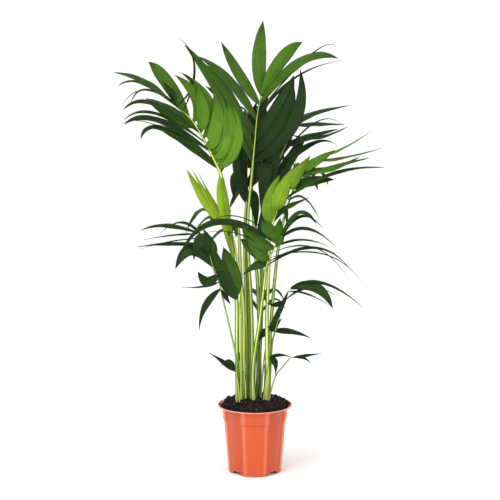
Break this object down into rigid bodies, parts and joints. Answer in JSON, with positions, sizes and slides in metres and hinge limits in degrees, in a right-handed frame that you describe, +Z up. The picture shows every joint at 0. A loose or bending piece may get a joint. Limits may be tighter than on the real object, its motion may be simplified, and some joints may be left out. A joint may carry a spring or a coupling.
{
  "type": "potted palm",
  "caption": "Young feather palm with arching pinnate fronds, growing from soil in a round tapered plastic nursery pot.",
  "frame": {"origin": "middle of the pot's underside, on the flat stud that rests on the ground", "axes": "+Z up along the pot's axis; -Y is the front that the plant is looked at from; +X to the right seen from the front"},
  "size_m": [0.6259, 0.6013, 1.1322],
  "materials": {
    "pot": "satin",
    "soil": "matte",
    "stalk": "satin",
    "leaf": "satin",
    "spear": "satin"
  },
  "bodies": {
    "root": {"pot": "pot", "soil": "soil", "arching_stalk": "stalk", "arching_blade": "leaf", "crown_stalk": "stalk", "crown_blade": "leaf", "shaded_stalk": "stalk", "shaded_blade": "leaf", "bright_stalk": "stalk", "bright_blade": "leaf", "inner_stalk": "stalk", "inner_blade": "leaf", "front_stalk": "stalk", "front_blade": "leaf", "left_low_stalk": "stalk", "left_low_blade": "leaf", "young_right_stalk": "stalk", "young_right_blade": "leaf", "broad_stalk": "stalk", "broad_blade": "leaf", "spear_stalk": "stalk", "spear_blade": "spear", "low_left_stalk": "stalk", "low_left_blade": "leaf", "low_right_stalk": "stalk", "low_right_blade": "leaf", "low_front_stalk": "stalk", "low_front_blade": "leaf", "low_centre_stalk": "stalk", "low_centre_blade": "leaf", "rear_stalk": "stalk", "rear_blade": "leaf", "rear_left_stalk": "stalk", "rear_left_blade": "leaf", "rear_right_stalk": "stalk", "rear_right_blade": "leaf", "rear_low_stalk": "stalk", "rear_low_blade": "leaf"}
  },
  "joints": []
}
